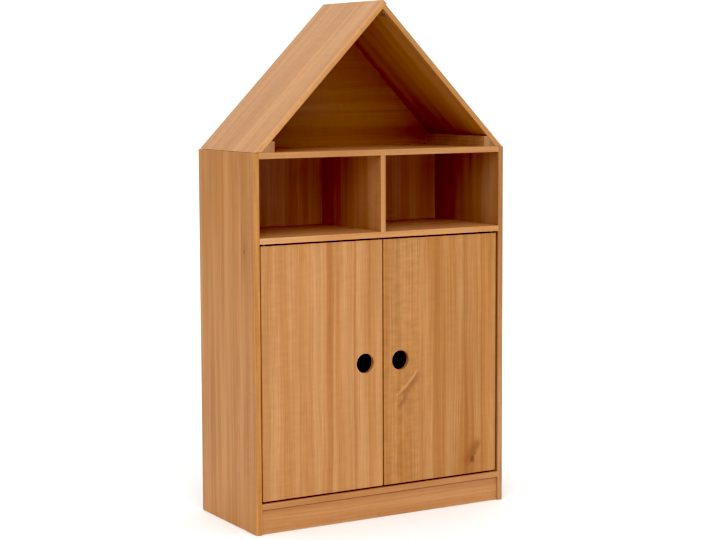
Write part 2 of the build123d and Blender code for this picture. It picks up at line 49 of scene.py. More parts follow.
class Lie(Enum):
    """How a board lies in the wardrobe: the directions along its grain, across its face and through it."""

    SIDE_UPRIGHT = ((0.0, 0.0, 1.0), (0.0, 1.0, 0.0), (1.0, 0.0, 0.0))
    FRONT_UPRIGHT = ((0.0, 0.0, 1.0), (1.0, 0.0, 0.0), (0.0, 1.0, 0.0))
    FRONT_LEVEL = ((1.0, 0.0, 0.0), (0.0, 0.0, 1.0), (0.0, 1.0, 0.0))
    SHELF = ((1.0, 0.0, 0.0), (0.0, 1.0, 0.0), (0.0, 0.0, 1.0))
    DEPTHWISE = ((0.0, 1.0, 0.0), (1.0, 0.0, 0.0), (0.0, 0.0, 1.0))
    LEFT_SLOPE = (
        (math.cos(math.radians(ROOF_PITCH)), 0.0, math.sin(math.radians(ROOF_PITCH))),
        (0.0, 1.0, 0.0),
        (-math.sin(math.radians(ROOF_PITCH)), 0.0, math.cos(math.radians(ROOF_PITCH))),
    )
    RIGHT_SLOPE = (
        (-math.cos(math.radians(ROOF_PITCH)), 0.0, math.sin(math.radians(ROOF_PITCH))),
        (0.0, 1.0, 0.0),
        (math.sin(math.radians(ROOF_PITCH)), 0.0, math.cos(math.radians(ROOF_PITCH))),
    )

    @property
    def along(self) -> Axis:
        """Unit vector along the grain."""
        return self.value[0]

    @property
    def across(self) -> Axis:
        """Unit vector across the board's face."""
        return self.value[1]

    @property
    def through(self) -> Axis:
        """Unit vector through the board's thickness."""
        return self.value[2]


class Graph:
    """The node tree of one material, written with short typed calls."""

    def __init__(self, name: str) -> None:
        """Makes an empty material with a Principled shader.

        Args:
            name: The material's name.
        """
        self.material = bpy.data.materials.new(name)
        self.material.use_nodes = True
        self.tree = self.material.node_tree
        self.tree.nodes.clear()
        self.shader = self.tree.nodes.new("ShaderNodeBsdfPrincipled")
        output = self.tree.nodes.new("ShaderNodeOutputMaterial")
        self.tree.links.new(self.shader.outputs["BSDF"], output.inputs["Surface"])
        self.place = self.tree.nodes.new("ShaderNodeTexCoord")

    def put(self, socket: Socket, feed: object) -> None:
        """Links a socket to another one, or gives it a plain value.

        Args:
            socket: The input socket.
            feed: A socket, a number, a vector or a colour.
        """
        if isinstance(feed, bpy.types.NodeSocket):
            self.tree.links.new(feed, socket)
        else:
            socket.default_value = feed

    def finish(self, **values: object) -> None:
        """Feeds the shader's own inputs; an underscore in a name stands for a space.

        Args:
            **values: Input names with their sockets, numbers or colours.
        """
        for name, feed in values.items():
            self.put(self.shader.inputs[name.replace("_", " ")], feed)

    def math(self, operation: str, first: Feed, second: Feed = 0.0) -> Socket:
        """One step of arithmetic.

        Args:
            operation: Blender's name of the operation.
            first: Left side.
            second: Right side.

        Returns:
            The result's socket.
        """
        node = self.tree.nodes.new("ShaderNodeMath")
        node.operation = operation
        self.put(node.inputs[0], first)
        self.put(node.inputs[1], second)
        return node.outputs[0]

    def add(self, first: Feed, second: Feed) -> Socket:
        """Sum of two values."""
        return self.math("ADD", first, second)

    def times(self, first: Feed, second: Feed) -> Socket:
        """Product of two values."""
        return self.math("MULTIPLY", first, second)

    def centred(self, noise: Socket) -> Socket:
        """A noise moved so that it lies about 0."""
        return self.add(noise, -UNIT_MIDDLE)

    def swing(self, noise: Socket, reach: float) -> Socket:
        """A factor about 1 that a noise moves up and down by its reach."""
        return self.add(self.times(self.centred(noise), 2 * reach), 1.0)

    def along(self, axis: Axis, source: Optional[Socket] = None) -> Socket:
        """How far a point lies along an axis.

        Args:
            axis: Unit vector in the wardrobe's frame.
            source: A vector's socket; the point on the piece by default.

        Returns:
            The distance's socket, in metres.
        """
        node = self.tree.nodes.new("ShaderNodeVectorMath")
        node.operation = "DOT_PRODUCT"
        self.put(node.inputs[0], source or self.place.outputs["Object"])
        node.inputs[1].default_value = axis
        return node.outputs["Value"]

    def vector(self, x: Feed, y: Feed, z: Feed) -> Socket:
        """A vector from three values.

        Args:
            x: Its first part.
            y: Its second part.
            z: Its third part.

        Returns:
            The vector's socket.
        """
        node = self.tree.nodes.new("ShaderNodeCombineXYZ")
        for socket, feed in zip(node.inputs, (x, y, z)):
            self.put(socket, feed)
        return node.outputs[0]

    def noise(
        self, place: Socket, scale: float = 1.0, detail: float = 2.0, roughness: float = 0.5
    ) -> Socket:
        """Smooth noise.

        Args:
            place: The vector to read it at.
            scale: Cycles per unit of that vector.
            detail: Number of finer octaves.
            roughness: Share of each finer octave.

        Returns:
            A socket with values about 0.5.
        """
        node = self.tree.nodes.new("ShaderNodeTexNoise")
        self.put(node.inputs["Vector"], place)
        node.inputs["Scale"].default_value = scale
        node.inputs["Detail"].default_value = detail
        node.inputs["Roughness"].default_value = roughness
        return node.outputs[0]

    def between(self, value: Feed, low: float, high: float, least: Feed = 0.0, most: Feed = 1.0) -> Socket:
        """A smooth step.

        Args:
            value: What is read.
            low: Where the step starts.
            high: Where it ends.
            least: The result before the step.
            most: The result after it.

        Returns:
            The result's socket.
        """
        node = self.tree.nodes.new("ShaderNodeMapRange")
        node.interpolation_type = "SMOOTHSTEP"
        self.put(node.inputs["Value"], value)
        node.inputs["From Min"].default_value = low
        node.inputs["From Max"].default_value = high
        self.put(node.inputs["To Min"], least)
        self.put(node.inputs["To Max"], most)
        return node.outputs["Result"]

    def mix(self, share: Feed, first: object, second: object) -> Socket:
        """A blend of two colours.

        Args:
            share: 0 for the first, 1 for the second.
            first: Colour or socket.
            second: Colour or socket.

        Returns:
            The colour's socket.
        """
        node = self.tree.nodes.new("ShaderNodeMix")
        node.data_type = "RGBA"
        colours = [socket for socket in node.inputs if socket.type == "RGBA"]
        self.put(node.inputs[0], share)
        for socket, feed in zip(colours, (first, second)):
            self.put(socket, (*feed, 1.0) if isinstance(feed, tuple) else feed)
        return next(socket for socket in node.outputs if socket.type == "RGBA")

    def steps(
        self, value: Feed, stops: Sequence[tuple[float, Sequence[float]]], even: bool = False
    ) -> bpy.types.Node:
        """A colour ramp.

        Args:
            value: Where on the ramp to read, from 0 to 1.
            stops: Places with their four channels.
            even: True blends between the stops, False holds each one.

        Returns:
            The ramp's node, with the outputs Color and Alpha.
        """
        node = self.tree.nodes.new("ShaderNodeValToRGB")
        ramp = node.color_ramp
        ramp.interpolation = "LINEAR" if even else "CONSTANT"
        while len(ramp.elements) < len(stops):
            ramp.elements.new(1.0)
        for element, (position, channels) in zip(ramp.elements, stops):
            element.position = position
            element.color = channels
        self.put(node.inputs["Fac"], value)
        return node

    def tint(self, colour: Socket, hue: Feed, saturation: Feed, value: Feed) -> Socket:
        """A colour with its hue, saturation and value changed.

        Args:
            colour: The colour's socket.
            hue: Where the hue turns to; SAME_HUE leaves it.
            saturation: Factor on the saturation.
            value: Factor on the brightness.

        Returns:
            The new colour's socket.
        """
        node = self.tree.nodes.new("ShaderNodeHueSaturation")
        self.put(node.inputs["Hue"], hue)
        self.put(node.inputs["Saturation"], saturation)
        self.put(node.inputs["Value"], value)
        self.put(node.inputs["Color"], colour)
        return node.outputs[0]

    def relief(self, height: Socket, depth: float, strength: float = 1.0) -> None:
        """Gives the surface a fine relief.

        Args:
            height: The relief, from 0 to 1.
            depth: What 1 stands for, in metres.
            strength: Share of the relief that shows.
        """
        node = self.tree.nodes.new("ShaderNodeBump")
        node.inputs["Strength"].default_value = strength
        node.inputs["Distance"].default_value = depth
        self.put(node.inputs["Height"], height)
        self.put(self.shader.inputs["Normal"], node.outputs["Normal"])


@dataclass(frozen=True)
class Weave:
    """A noise that is stretched along the grain, in cycles per metre along, across and through."""

    along: float
    across: float
    through: float = 0.0
    detail: float = 2.0
    shift: float = 0.0

    def on_face(self, graph: Graph, seed: float, along: Socket, across: Socket) -> Socket:
        """Lays the noise over a board's face, the same all the way through.

        Args:
            graph: The material's graph.
            seed: A number that sets boards apart.
            along: Place along the grain.
            across: Place across the face.

        Returns:
            The noise's socket.
        """
        stretched = graph.times(along, self.along), graph.times(across, self.across)
        return graph.noise(graph.vector(*stretched, seed + self.shift), detail=self.detail)

    def in_wood(self, graph: Graph, along: Socket, across: Socket, through: Socket) -> Socket:
        """Runs the noise through the wood, so that faces and edges agree.

        Args:
            graph: The material's graph.
            along: Place along the grain.
            across: Place across the face.
            through: Place through the board.

        Returns:
            The noise's socket.
        """
        cycles = (self.along, self.across, self.through)
        place = graph.vector(*(graph.times(*pair) for pair in zip((along, across, through), cycles)))
        return graph.noise(place, detail=self.detail)


@dataclass(frozen=True)
class Knot:
    """A branch that the saw cut through, placed from the middle of its board."""

    along: float
    across: float
    radius: float = 0.009
    stretch: float = 1.5
    swirl: float = 0.012
    reach: float = 0.028
    dark: float = 1.0


@dataclass(frozen=True)
class Streak:
    """A band of darker colour along the grain: resin in the wood, or a painted shadow line along a board
    under an overhanging board.
    """

    across: float
    width: float
    strength: float = 0.6
    painted_shadow: bool = False


@dataclass(frozen=True)
class Curl:
    """A short slanted curl of grain beside a buried branch: a light line with a dark side under it."""

    start: tuple[float, float]
    end: tuple[float, float]
    width: float
    light: float = 0.5
    dark: float = 0.6


@dataclass(frozen=True)
class Stave:
    """One of the strips that a board is glued up from; the pith of its log lies under the face."""

    start: float
    pith: float
    depth: float = 0.5
    tone: float = 0.5
    mottle: float = 0.3


@dataclass(frozen=True)
class Board:
    """How one board of the wardrobe was cut: its grain, its staves and what grew in it."""

    node: str
    lie: Lie
    seed: int
    tone: float = 1.0
    stave_width: float = 0.1
    figure: float = 1.0
    richness: float = 1.0
    wax: float = 0.05
    knots: tuple[Knot, ...] = ()
    streaks: tuple[Streak, ...] = ()
    curls: tuple[Curl, ...] = ()
    staves: tuple[Stave, ...] = ()


@dataclass(frozen=True)
class PineFinish:
    """Solid pine from edge-glued staves, stained honey and waxed to a satin sheen."""

    slot: str = "pine"
    pale: Colour = (0.515, 0.266, 0.100)
    honey: Colour = (0.437, 0.200, 0.060)
    amber: Colour = (0.312, 0.110, 0.014)
    knot_heart: Colour = (0.13, 0.038, 0.010)
    gleam: Colour = (0.62, 0.35, 0.13)
    # bark brown of the curls, also the colour of painted shadow lines
    bark_brown_and_shadow: Colour = (0.21, 0.066, 0.013)
    tint: Weave = Weave(0.9, 30.0, shift=3.1)
    bands: Weave = Weave(0.7, 38.0, shift=8.2)
    lines: Weave = Weave(2.2, 330.0, 110.0, detail=3.0)
    fibre: Weave = Weave(16.0, 700.0, 700.0)
    drift: Weave = Weave(1.3, 6.0, detail=1.0)
    sway: Weave = Weave(6.0, 14.0, detail=1.0, shift=7.3)
    stain: Weave = Weave(3.5, 11.0, shift=1.7)
    quilt: Weave = Weave(75.0, 24.0, shift=4.9)
    ragged: Weave = Weave(2.5, 160.0)
    tint_step: Span = (0.34, 0.66)
    band_step: Span = (0.50, 0.70)
    line_step: Span = (0.38, 0.76)
    band_depth: float = 0.30
    line_depth: float = 0.50
    ring_depth: float = 0.20
    ring_gap: float = 0.0043
    ring_wander: float = 3.0
    year_cycles: float = 55.0
    late_profile: tuple[Span, ...] = ((0.0, 0.10), (0.35, 0.0), (0.82, 0.85), (0.93, 1.0), (1.0, 0.10))
    late_least: float = 0.35
    late_spread: float = 0.9
    stave_spread: float = 0.05
    stave_overlap: float = 0.8
    stave_widths: Span = (0.7, 1.3)
    stave_piths: Span = (-0.7, 1.7)
    stave_mottle: float = 0.6
    most_staves: int = 30
    ramp_span: float = 1.2
    pith_nearest: float = 0.022
    pith_range: float = 0.09
    pith_lean: float = 0.05
    lean_cycles: float = 1.6
    taper: float = 0.013
    wander: float = 0.022
    sway_share: float = 0.35
    mottling: float = 0.24
    clouding: float = 0.10
    fibre_contrast: float = 0.27
    curl_bow: float = -0.04
    curl_rise: Span = (-0.12, 0.2)
    curl_fall: Span = (0.75, 1.12)
    curl_near: Span = (-0.4, 0.8)
    curl_far: Span = (1.0, 4.0)
    halo_share: float = 0.45
    heart_share: float = 0.85
    heart_edge: Span = (0.7, 1.15)
    streak_edge: Span = (0.15, 0.6)
    ragged_least: float = 0.55
    ragged_spread: float = 0.9
    end_step: Span = (0.6, 0.95)
    end_grain: float = 0.74
    arris_step: Span = (0.0008, 0.0030)
    # how much paler the arrises are: painted highlight, partly sanded-edge wear
    arris_wear_and_highlight_gain: float = 1.10
    satin: float = 0.46
    line_roughness: float = 0.16
    refraction: float = 1.44
    wax_roughness: float = 0.3
    late_relief: float = 0.35
    fibre_relief: float = 0.5
    pores_depth: float = 0.0002
    pores_strength: float = 0.5

    def material(self, board: Board) -> bpy.types.Material:
        """Cuts the wood for one board.

        Args:
            board: How the board lies and what grew in it.

        Returns:
            The board's material.
        """
        graph = Graph(f"{self.slot}_{board.node}")
        low, high = self.extent(board)
        middle = [(first + last) / 2 for first, last in zip(low, high)]
        along, across, through = (
            graph.add(graph.along(axis), -centre) for axis, centre in zip(board.lie.value, middle)
        )
        tone, mottle, pith_across, pith_depth = self.staves(graph, board, across)
        bent = self.bend(graph, board, along, across)
        radius = self.ring_radius(graph, along, bent, through, pith_across, pith_depth)
        halo, push, heart = self.knots(graph, board, along, across)
        late = self.late_wood(graph, graph.add(radius, push))
        lines = self.lines.in_wood(graph, along, bent, through)
        fibre = self.fibre.in_wood(graph, along, bent, through)
        colour = self.grain(graph, board, along, bent, lines, late)
        colour = self.marks(graph, board, colour, along, across, bent)
        colour = graph.mix(halo, colour, self.amber)
        colour = graph.mix(heart, colour, self.knot_heart)
        value = graph.times(tone, board.tone)
        value = graph.times(value, self.clouds(graph, board, along, across, mottle))
        value = graph.times(value, graph.swing(fibre, self.fibre_contrast / 2))
        value = graph.times(value, self.end_shade(graph, board))
        # paler edges: painted highlight along the arrises, partly sanded-edge wear
        value = graph.times(value, self.arris_wear_and_highlight(graph, (along, across, through), low, high))
        colour = graph.tint(colour, SAME_HUE, board.richness, value)
        rough = graph.add(graph.times(lines, self.line_roughness), self.satin - self.line_roughness / 2)
        graph.finish(Base_Color=colour, Roughness=rough, IOR=self.refraction)
        graph.finish(Coat_Weight=board.wax, Coat_Roughness=self.wax_roughness)
        height = graph.add(graph.times(late, self.late_relief), graph.times(fibre, self.fibre_relief))
        graph.relief(height, self.pores_depth, self.pores_strength)
        return graph.material

    def grain(
        self, graph: Graph, board: Board, along: Socket, bent: Socket, lines: Socket, late: Socket
    ) -> Socket:
        """The wood's own colour: broad tints, amber bands, fine lines and growth rings.

        Args:
            graph: The material's graph.
            board: The board.
            along: Place along the grain.
            bent: Place across the face, bent with the grain.
            lines: Noise of the fine lines.
            late: Share of late wood.

        Returns:
            The colour's socket.
        """
        tint = self.tint.on_face(graph, board.seed, along, bent)
        bands = self.bands.on_face(graph, board.seed, along, bent)
        band = graph.times(graph.between(bands, *self.band_step), self.band_depth * board.figure)
        line = graph.times(graph.between(lines, *self.line_step), self.line_depth * board.figure)
        ring = graph.times(late, self.ring_depth * board.figure)
        colour = graph.mix(graph.between(tint, *self.tint_step), self.pale, self.honey)
        for share in (band, line, ring):
            colour = graph.mix(share, colour, self.amber)
        return colour

    def marks(
        self, graph: Graph, board: Board, colour: Socket, along: Socket, across: Socket, bent: Socket
    ) -> Socket:
        """Lays the board's streaks, painted shadow lines and curls over its colour.

        Args:
            graph: The material's graph.
            board: The board.
            colour: The wood's colour.
            along: Place along the grain.
            across: Place across the face.
            bent: The same, bent with the grain.

        Returns:
            The colour's socket.
        """
        for streak in board.streaks:
            # a painted-shadow streak runs straight along the board in dark brown: painted shade under an
            # overhanging board
            place = across if streak.painted_shadow else bent
            ink = self.bark_brown_and_shadow if streak.painted_shadow else self.amber
            colour = graph.mix(self.streak(graph, streak, place, along), colour, ink)
        for curl in board.curls:
            light, dark = self.curl(graph, curl, along, across)
            colour = graph.mix(light, colour, self.gleam)
            colour = graph.mix(dark, colour, self.bark_brown_and_shadow)
        return colour

    def bend(self, graph: Graph, board: Board, along: Socket, across: Socket) -> Socket:
        """Lets the grain wander from side to side as it runs along the board.

        Args:
            graph: The material's graph.
            board: The board.
            along: Place along the grain, from the board's middle.
            across: Place across the face, from its middle.

        Returns:
            The place across the face, bent with the grain.
        """
        drift = self.drift.on_face(graph, board.seed, along, across)
        sway = self.sway.on_face(graph, board.seed, along, across)
        bent = graph.add(across, graph.times(graph.centred(drift), self.wander))
        return graph.add(bent, graph.times(graph.centred(sway), self.wander * self.sway_share))

    def clouds(self, graph: Graph, board: Board, along: Socket, across: Socket, mottle: Socket) -> Socket:
        """Broad clouds in the stain and the small cross-grain ripple of some staves.

        Args:
            graph: The material's graph.
            board: The board.
            along: Place along the grain.
            across: Place across the face.
            mottle: Share of the ripple in each stave.

        Returns:
            A factor's socket, about 1.
        """
        cloud = graph.swing(self.stain.on_face(graph, board.seed, along, across), self.clouding)
        quilt = self.quilt.on_face(graph, board.seed, along, across)
        patch = graph.times(graph.centred(quilt), graph.times(mottle, 2 * self.mottling))
        return graph.add(cloud, patch)

    def curl(self, graph: Graph, curl: Curl, along: Socket, across: Socket) -> tuple[Socket, Socket]:
        """Where a curl of grain shows.

        Args:
            graph: The material's graph.
            curl: The curl.
            along: Place along the grain.
            across: Place across the face.

        Returns:
            Shares of its light line and of its dark side.
        """
        run = Vector(curl.end) - Vector(curl.start)
        reach = run.length
        down, side = run / reach
        rise = graph.add(along, -curl.start[0])
        shift = graph.add(across, -curl.start[1])
        onward = graph.add(graph.times(rise, down / reach), graph.times(shift, side / reach))
        bow = graph.times(graph.math("SINE", graph.times(onward, math.pi)), self.curl_bow * reach)
        aside = graph.add(graph.add(graph.times(rise, -side), graph.times(shift, down)), bow)
        ends = graph.times(
            graph.between(onward, *self.curl_rise),
            graph.between(onward, *self.curl_fall, 1.0, 0.0),
        )
        line = graph.between(graph.math("ABSOLUTE", aside), 0.0, curl.width, curl.light, 0.0)
        near = (share * curl.width for share in self.curl_near)
        far = (share * curl.width for share in self.curl_far)
        under = graph.times(graph.between(aside, *near), graph.between(aside, *far, curl.dark, 0.0))
        return graph.times(line, ends), graph.times(under, ends)

    def extent(self, board: Board) -> tuple[list[float], list[float]]:
        """Where the board starts and ends along its own three directions.

        Args:
            board: The board.

        Returns:
            The lowest and the highest value in each direction.
        """
        places = [vertex.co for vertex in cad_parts[board.node].data.vertices]
        spans = [[place.dot(Vector(axis)) for place in places] for axis in board.lie.value]
        return [min(span) for span in spans], [max(span) for span in spans]

    def staves(self, graph: Graph, board: Board, across: Socket) -> tuple[Socket, Socket, Socket, Socket]:
        """Lays the board's staves side by side, each from another log.

        Args:
            graph: The material's graph.
            board: The board.
            across: Place across the board, from its middle.

        Returns:
            The stave's tone, its mottling, the place of its pith and the pith's depth under the face.
        """
        strips = board.staves or self.random_staves(board)
        stops = [
            (
                max(0.0, UNIT_MIDDLE + strip.start / self.ramp_span),
                (strip.tone, strip.mottle, UNIT_MIDDLE + strip.pith / self.ramp_span, strip.depth),
            )
            for strip in strips
        ]
        ramp = graph.steps(graph.add(graph.times(across, 1 / self.ramp_span), UNIT_MIDDLE), stops)
        parts = graph.tree.nodes.new("ShaderNodeSeparateColor")
        graph.put(parts.inputs[0], ramp.outputs["Color"])
        tone = graph.swing(parts.outputs[0], self.stave_spread)
        pith_across = graph.times(graph.centred(parts.outputs[2]), self.ramp_span)
        pith_depth = graph.add(graph.times(ramp.outputs["Alpha"], self.pith_range), self.pith_nearest)
        return tone, parts.outputs[1], pith_across, pith_depth

    def random_staves(self, board: Board) -> tuple[Stave, ...]:
        """Draws the staves of a board that has none listed.

        Args:
            board: The board.

        Returns:
            Staves from one edge of the board to the other.
        """
        draw = random.Random(board.seed)
        low, high = self.extent(board)
        half = (high[1] - low[1]) / 2
        edge = -half - draw.uniform(0.0, board.stave_width * self.stave_overlap)
        strips = []
        while edge < half and len(strips) < self.most_staves:
            width = board.stave_width * draw.uniform(*self.stave_widths)
            pith = edge + width * draw.uniform(*self.stave_piths)
            strips.append(Stave(edge, pith, draw.random(), draw.random(), self.stave_mottle * draw.random()))
            edge += width
        return tuple(strips)

    def ring_radius(
        self,
        graph: Graph,
        along: Socket,
        across: Socket,
        through: Socket,
        pith_across: Socket,
        pith_depth: Socket,
    ) -> Socket:
        """Distance from the pith of a tapering log, so that faces show arches and edges show lines.

        Args:
            graph: The material's graph.
            along: Place along the grain.
            across: Place across the face, bent with the grain.
            through: Place through the board.
            pith_across: Where the pith lies across the face.
            pith_depth: How far it lies under the face.

        Returns:
            The distance's socket, in metres.
        """
        along_log = graph.vector(graph.times(along, self.lean_cycles), pith_across, pith_depth)
        lean = graph.centred(graph.noise(along_log, detail=1.0))
        sideways = graph.math("SUBTRACT", across, pith_across)
        deep = graph.add(graph.add(through, pith_depth), graph.times(lean, self.pith_lean))
        squared = graph.add(graph.times(sideways, sideways), graph.times(deep, deep))
        return graph.add(graph.math("SQRT", squared), graph.times(along, self.taper))

    def late_wood(self, graph: Graph, radius: Socket) -> Socket:
        """The dark late wood of each growth ring.

        Args:
            graph: The material's graph.
            radius: Distance from the pith.

        Returns:
            A socket from 0 in the early wood to 1 in the late wood.
        """
        years = graph.noise(graph.vector(graph.times(radius, self.year_cycles), 0.0, 0.0), detail=1.0)
        rings = graph.add(graph.times(radius, 1 / self.ring_gap), graph.times(years, self.ring_wander))
        stops = [(place, (share, share, share, 1.0)) for place, share in self.late_profile]
        profile = graph.steps(graph.math("FRACT", rings), stops, even=True).outputs["Color"]
        return graph.times(profile, graph.add(graph.times(years, self.late_spread), self.late_least))

    def knots(self, graph: Graph, board: Board, along: Socket, across: Socket) -> tuple[Feed, Feed, Feed]:
        """What the board's knots do: their halo, how they push the rings aside, and their dark hearts.

        Args:
            graph: The material's graph.
            board: The board.
            along: Place along the grain.
            across: Place across the face.

        Returns:
            Shares of the halo and of the heart, with the push in metres between them.
        """
        halo: Feed = 0.0
        push: Feed = 0.0
        heart: Feed = 0.0
        for knot in board.knots:
            down = graph.times(graph.add(along, -knot.along), 1 / knot.stretch)
            side = graph.add(across, -knot.across)
            squared = graph.add(graph.times(down, down), graph.times(side, side))
            distance = graph.math("SQRT", squared)
            fade = graph.math("EXPONENT", graph.times(squared, -1 / (2 * knot.reach**2)))
            push = graph.add(push, graph.times(fade, knot.swirl))
            halo = graph.add(halo, graph.times(fade, self.halo_share * knot.dark))
            edge = (share * knot.radius for share in self.heart_edge)
            spot = graph.between(distance, *edge, self.heart_share * knot.dark, 0.0)
            heart = graph.math("MAXIMUM", heart, spot)
        return halo, push, heart

    def streak(self, graph: Graph, streak: Streak, across: Socket, along: Socket) -> Socket:
        """Where a streak shows.

        Args:
            graph: The material's graph.
            streak: The streak.
            across: Place across the face.
            along: Place along the grain.

        Returns:
            A socket from 0 to the streak's strength.
        """
        away = graph.math("ABSOLUTE", graph.add(across, -streak.across))
        edge = (share * streak.width for share in self.streak_edge)
        band = graph.between(away, *edge, streak.strength, 0.0)
        ragged = self.ragged.on_face(graph, streak.across, along, across)
        return graph.times(band, graph.add(graph.times(ragged, self.ragged_spread), self.ragged_least))

    def end_shade(self, graph: Graph, board: Board) -> Socket:
        """How much darker the end grain is, which drinks more stain than the faces.

        Args:
            graph: The material's graph.
            board: The board.

        Returns:
            A factor's socket, 1 on faces and edges.
        """
        facing = graph.along(board.lie.along, graph.place.outputs["Normal"])
        return graph.between(graph.math("ABSOLUTE", facing), *self.end_step, 1.0, self.end_grain)

    def arris_wear_and_highlight(
        self, graph: Graph, place: Sequence[Socket], low: Sequence[float], high: Sequence[float]
    ) -> Socket:
        """How much paler the edges are than the faces: a painted highlight along the arrises, partly also
        sanded edges where the stain is thinner.

        Args:
            graph: The material's graph.
            place: The point's place along the board's three directions, from its middle.
            low: Where the board starts.
            high: Where it ends.

        Returns:
            A factor's socket, 1 away from the edges.
        """
        inside = [
            graph.math("SUBTRACT", (last - first) / 2, graph.math("ABSOLUTE", where))
            for where, first, last in zip(place, low, high)
        ]
        nearest = graph.math("MINIMUM", graph.math("MINIMUM", inside[0], inside[1]), inside[2])
        total = graph.add(graph.add(inside[0], inside[1]), inside[2])
        farthest = graph.math("MAXIMUM", graph.math("MAXIMUM", inside[0], inside[1]), inside[2])
        second = graph.math("SUBTRACT", graph.math("SUBTRACT", total, nearest), farthest)
        return graph.between(second, *self.arris_step, self.arris_wear_and_highlight_gain, 1.0)


@dataclass(frozen=True)
class VeneerFinish(PineFinish):
    """Pine-veneered board: wide leaves of veneer, duller and redder than the solid wood."""

    slot: str = "back_panel_veneer"
    pale: Colour = (0.465, 0.212, 0.070)
    honey: Colour = (0.400, 0.168, 0.047)
    satin: float = 0.52


@dataclass(frozen=True)
class BeechFinish:
    """Raw beech: pale, with short dark flecks along the grain."""

    slot: str = "beech_dowel"
    ground: Colour = (0.62, 0.42, 0.26)
    fleck: Colour = (0.42, 0.24, 0.13)
    cloud_cycles: float = 120.0
    fleck_cycles: float = 900.0
    fleck_step: Span = (0.5, 0.72)
    darkest: float = 0.85
    clouding: float = 0.3
    roughness: float = 0.55
    fleck_roughness: float = 0.2
    flute_depth: float = 0.0004
    flute_strength: float = 0.4

    def material(self) -> bpy.types.Material:
        """Makes the wood of the dowels.

        Returns:
            The material.
        """
        graph = Graph(self.slot)
        place = graph.place.outputs["Object"]
        clouds = graph.noise(place, scale=self.cloud_cycles, detail=3.0)
        flecks = graph.noise(place, scale=self.fleck_cycles)
        colour = graph.mix(graph.between(flecks, *self.fleck_step), self.ground, self.fleck)
        value = graph.add(graph.times(clouds, self.clouding), self.darkest)
        colour = graph.tint(colour, SAME_HUE, 1.0, value)
        rough = graph.add(graph.times(flecks, self.fleck_roughness), self.roughness)
        graph.finish(Base_Color=colour, Roughness=rough)
        graph.relief(flecks, self.flute_depth, self.flute_strength)
        return graph.material


@dataclass(frozen=True)
class MetalFinish:
    """A plated or cast metal with the fine marks of its making."""

    slot: str
    bright: Colour
    dull: Colour
    metallic: float
    roughness: float
    grain: float
    depth: float
    cloud_share: float = 0.15
    cloud_step: Span = (0.35, 0.68)
    roughness_spread: float = 0.22
    relief_strength: float = 0.5

    def material(self) -> bpy.types.Material:
        """Makes the metal.

        Returns:
            The material.
        """
        graph = Graph(self.slot)
        place = graph.place.outputs["Object"]
        clouds = graph.noise(place, scale=self.grain * self.cloud_share, detail=3.0)
        grains = graph.noise(place, scale=self.grain, detail=4.0, roughness=0.6)
        colour = graph.mix(graph.between(clouds, *self.cloud_step), self.bright, self.dull)
        smoothest = self.roughness - self.roughness_spread / 2
        rough = graph.add(graph.times(grains, self.roughness_spread), smoothest)
        graph.finish(Base_Color=colour, Metallic=self.metallic, Roughness=rough)
        graph.relief(grains, self.depth, self.relief_strength)
        return graph.material


@dataclass(frozen=True)
class MouldedFinish:
    """A moulded plastic with a slight orange-peel skin."""

    slot: str
    ground: Colour
    shade: Colour
    roughness: float
    flow_cycles: float = 60.0
    flow_step: Span = (0.3, 0.7)
    skin_cycles: float = 1400.0
    skin_roughness: float = 0.15
    skin_polish: float = 0.07
    skin_depth: float = 0.00012
    skin_strength: float = 0.5

    def material(self) -> bpy.types.Material:
        """Makes the plastic.

        Returns:
            The material.
        """
        graph = Graph(self.slot)
        place = graph.place.outputs["Object"]
        flow = graph.noise(place, scale=self.flow_cycles)
        peel = graph.noise(place, scale=self.skin_cycles)
        colour = graph.mix(graph.between(flow, *self.flow_step), self.ground, self.shade)
        rough = graph.add(graph.times(peel, self.skin_roughness), self.roughness - self.skin_polish)
        graph.finish(Base_Color=colour, Roughness=rough)
        graph.relief(peel, self.skin_depth, self.skin_strength)
        return graph.material


PINE = PineFinish()
BACK_VENEER = VeneerFinish()
RAW_BEECH = BeechFinish()
ZINC_PLATE = MetalFinish(
    "zinc_plated_steel", (0.66, 0.68, 0.70), (0.50, 0.52, 0.55),
    metallic=1.0, roughness=0.30, grain=1500.0, depth=0.00006,
)
CAST_ZINC = MetalFinish(
    "cast_zinc", (0.50, 0.50, 0.51), (0.36, 0.36, 0.37),
    metallic=1.0, roughness=0.48, grain=900.0, depth=0.00015,
)
FERRITE = MetalFinish(
    "magnet_steel", (0.10, 0.10, 0.105), (0.06, 0.06, 0.065),
    metallic=0.4, roughness=0.55, grain=1200.0, depth=0.00012,
)
BLACKENED_STEEL = MetalFinish(
    "blackened_steel", (0.10, 0.09, 0.08), (0.05, 0.045, 0.04),
    metallic=0.9, roughness=0.38, grain=1500.0, depth=0.00006,
)
BROWN_NYLON = MouldedFinish("brown_nylon", (0.20, 0.10, 0.045), (0.16, 0.078, 0.034), 0.42)
BROWN_PLASTIC = MouldedFinish("brown_plastic", (0.15, 0.072, 0.034), (0.11, 0.052, 0.025), 0.45)


def dress(node: str, material: bpy.types.Material) -> None:
    """Gives a piece its finish.

    Args:
        node: The piece's name in the frame.
        material: Its material.
    """
    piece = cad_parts[node]
    for place in piece.material_slots:
        place.material = material
    LOG.info("%s: %s", node, material.name)


def dress_board(board: Board, finish: PineFinish = PINE) -> None:
    """Cuts a board's wood and dresses the board with it.

    Args:
        board: How the board was cut.
        finish: Its finish.
    """
    dress(board.node, finish.material(board))


